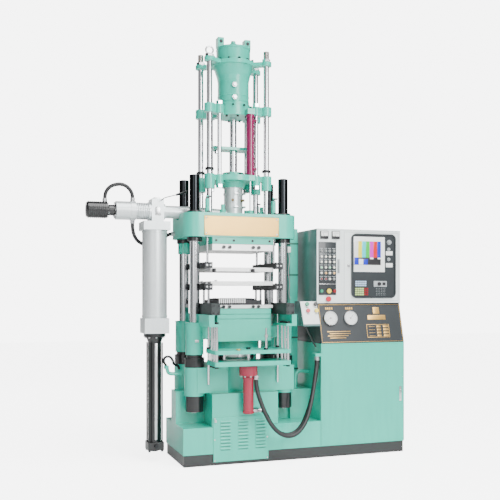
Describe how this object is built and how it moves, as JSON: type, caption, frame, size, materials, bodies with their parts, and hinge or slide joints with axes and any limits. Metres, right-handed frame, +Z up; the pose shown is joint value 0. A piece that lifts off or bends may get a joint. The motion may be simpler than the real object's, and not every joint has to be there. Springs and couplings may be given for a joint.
{
  "type": "injection moulding machine",
  "caption": "Vertical column press with an overhead plunger injection unit, side screw extruder and stuffer, ejector rails and a free-standing control cabinet",
  "frame": {"origin": "on the floor, on the axis of the main ram", "axes": "X to the right seen from the front, Y to the back, Z up; the front faces -Y"},
  "size_m": [2.344, 0.7321, 3.075],
  "materials": {
    "green_paint": "semi-gloss mint green machine enamel",
    "dark_green": "green enamel in shade",
    "crimson_paint": "gloss crimson enamel",
    "magenta_paint": "gloss magenta enamel",
    "black_paint": "satin black",
    "console_black": "satin black panel",
    "cabinet_grey": "light grey powder coat",
    "panel_grey": "light grey powder coat",
    "silver_paint": "silver-white enamel",
    "chrome": "hard chromed and polished",
    "steel": "ground steel",
    "dark_steel": "blackened steel",
    "bright_plate": "ground tool steel",
    "cast_grey": "grey casting",
    "gold_plate": "satin gold brass, bare",
    "hose_black": "matt black rubber",
    "red_plastic": "moulded",
    "yellow_plastic": "moulded",
    "green_plastic": "moulded",
    "black_plastic": "moulded"
  },
  "bodies": {
    "machine_frame": {"base_frame": "green_paint", "front_cover": "green_paint", "lower_crosshead": "green_paint", "tie_bars": "chrome", "tie_bar_nuts": "black_paint", "head": "green_paint", "nameplate": "gold_plate", "upper_bolster": "green_paint", "upper_hot_plate": "bright_plate", "upper_ejector_cylinders": "green_paint", "lift_rod": "chrome", "cabinet_shell": "green_paint", "console": "console_black", "control_box": "cabinet_grey", "operator_station": "cabinet_grey", "ejector_hose_a": "hose_black", "ejector_hose_b": "hose_black"},
    "moving_platen": {"main_ram": "chrome", "moving_bolster": "green_paint", "guide_blocks": "cast_grey", "lower_hot_plate": "bright_plate", "lower_mould": "dark_steel", "ejector_base_plate": "green_paint", "ejector_posts": "chrome", "ejector_cylinder": "crimson_paint"},
    "lower_ejector": {"ejector_top_plate": "green_paint", "ejector_rods": "chrome", "lower_lift_rods": "chrome", "lower_rails": "dark_steel", "lower_mould_plate": "bright_plate"},
    "upper_ejector": {"upper_lift_rods": "chrome", "upper_rails": "dark_steel", "upper_mould_plate": "bright_plate"},
    "injection_unit": {"injection_plate": "green_paint", "injection_barrel": "silver_paint", "guide_columns": "chrome", "injection_tie_rods": "steel", "injection_yoke": "green_paint", "injection_cylinder": "green_paint", "lift_cylinder": "magenta_paint", "extruder_motor": "black_paint", "gearbox_housing": "silver_paint", "extruder_barrel": "silver_paint", "feed_block": "silver_paint", "stuffer_cylinder": "silver_paint", "stuffer_drive": "black_paint", "motor_hose": "hose_black", "barrel_hose": "hose_black"},
    "plunger": {"injection_plunger": "steel"},
    "screw": {"extruder_screw": "steel"},
    "stuffer_ram": {"stuffer_piston": "steel"},
    "lamp_panel": {"lamp_door": "panel_grey"},
    "monitor_panel": {"monitor_door": "panel_grey"},
    "cabinet_front": {"cabinet_door": "green_paint"},
    "emergency": {"emergency_button": "red_plastic"},
    "cycle": {"cycle_button": "yellow_plastic"},
    "station_green": {"station_green_button": "green_plastic"},
    "station_black": {"station_black_button": "black_plastic"},
    "station_red": {"station_red_button": "red_plastic"},
    "station_yellow": {"station_yellow_button": "yellow_plastic"}
  },
  "joints": [
    {"name": "platen_lift", "type": "slide", "parent": "machine_frame", "child": "moving_platen", "axis": [0, 0, 1], "range_m": [0, 0.19]},
    {"name": "upper_ejector_lift", "type": "slide", "parent": "machine_frame", "child": "upper_ejector", "axis": [0, 0, 1], "range_m": [0, 0.08]},
    {"name": "lower_ejector_drop", "type": "slide", "parent": "moving_platen", "child": "lower_ejector", "axis": [0, 0, 1], "range_m": [-0.05, 0]},
    {"name": "injection_lift", "type": "slide", "parent": "machine_frame", "child": "injection_unit", "axis": [0, 0, 1], "range_m": [0, 0.06]},
    {"name": "injection_stroke", "type": "slide", "parent": "injection_unit", "child": "plunger", "axis": [0, 0, 1], "range_m": [-0.13, 0.165]},
    {"name": "screw_spin", "type": "hinge", "parent": "injection_unit", "child": "screw", "pos_m": [-0.4, 0, 1.783], "axis": [1, 0, 0], "continuous": true},
    {"name": "stuffer_stroke", "type": "slide", "parent": "injection_unit", "child": "stuffer_ram", "axis": [0, 0, 1], "range_m": [0, 0.5]},
    {"name": "lamp_door_hinge", "type": "hinge", "parent": "machine_frame", "child": "lamp_panel", "pos_m": [0.5828, -0.228, 1.4], "axis": [0, 0, 1], "range_deg": [-90, 0]},
    {"name": "monitor_door_hinge", "type": "hinge", "parent": "machine_frame", "child": "monitor_panel", "pos_m": [1.2612, -0.228, 1.4], "axis": [0, 0, 1], "range_deg": [0, 110]},
    {"name": "cabinet_door_hinge", "type": "hinge", "parent": "machine_frame", "child": "cabinet_front", "pos_m": [0.5908, -0.286, 0.456], "axis": [0, 0, 1], "range_deg": [-90, 0]},
    {"name": "emergency_press", "type": "slide", "parent": "lamp_panel", "child": "emergency", "axis": [0, -1, 0], "range_m": [-0.005, 0], "stiffness_N_per_m": 400, "springref_m": 0.001},
    {"name": "cycle_press", "type": "slide", "parent": "lamp_panel", "child": "cycle", "axis": [0, -1, 0], "range_m": [-0.005, 0], "stiffness_N_per_m": 400, "springref_m": 0.001},
    {"name": "station_green_press", "type": "slide", "parent": "machine_frame", "child": "station_green", "axis": [0, -0.9228, 0.3854], "range_m": [-0.005, 0], "stiffness_N_per_m": 400, "springref_m": 0.001},
    {"name": "station_black_press", "type": "slide", "parent": "machine_frame", "child": "station_black", "axis": [0, -0.9228, 0.3854], "range_m": [-0.005, 0], "stiffness_N_per_m": 400, "springref_m": 0.001},
    {"name": "station_red_press", "type": "slide", "parent": "machine_frame", "child": "station_red", "axis": [0, -0.9228, 0.3854], "range_m": [-0.005, 0], "stiffness_N_per_m": 400, "springref_m": 0.001},
    {"name": "station_yellow_press", "type": "slide", "parent": "machine_frame", "child": "station_yellow", "axis": [0, -0.9228, 0.3854], "range_m": [-0.005, 0], "stiffness_N_per_m": 400, "springref_m": 0.001}
  ],
  "couplings": [
    {"joint": "upper_ejector_lift", "follows": "platen_lift", "ratio": 0.42},
    {"joint": "lower_ejector_drop", "follows": "platen_lift", "ratio": -0.26}
  ]
}
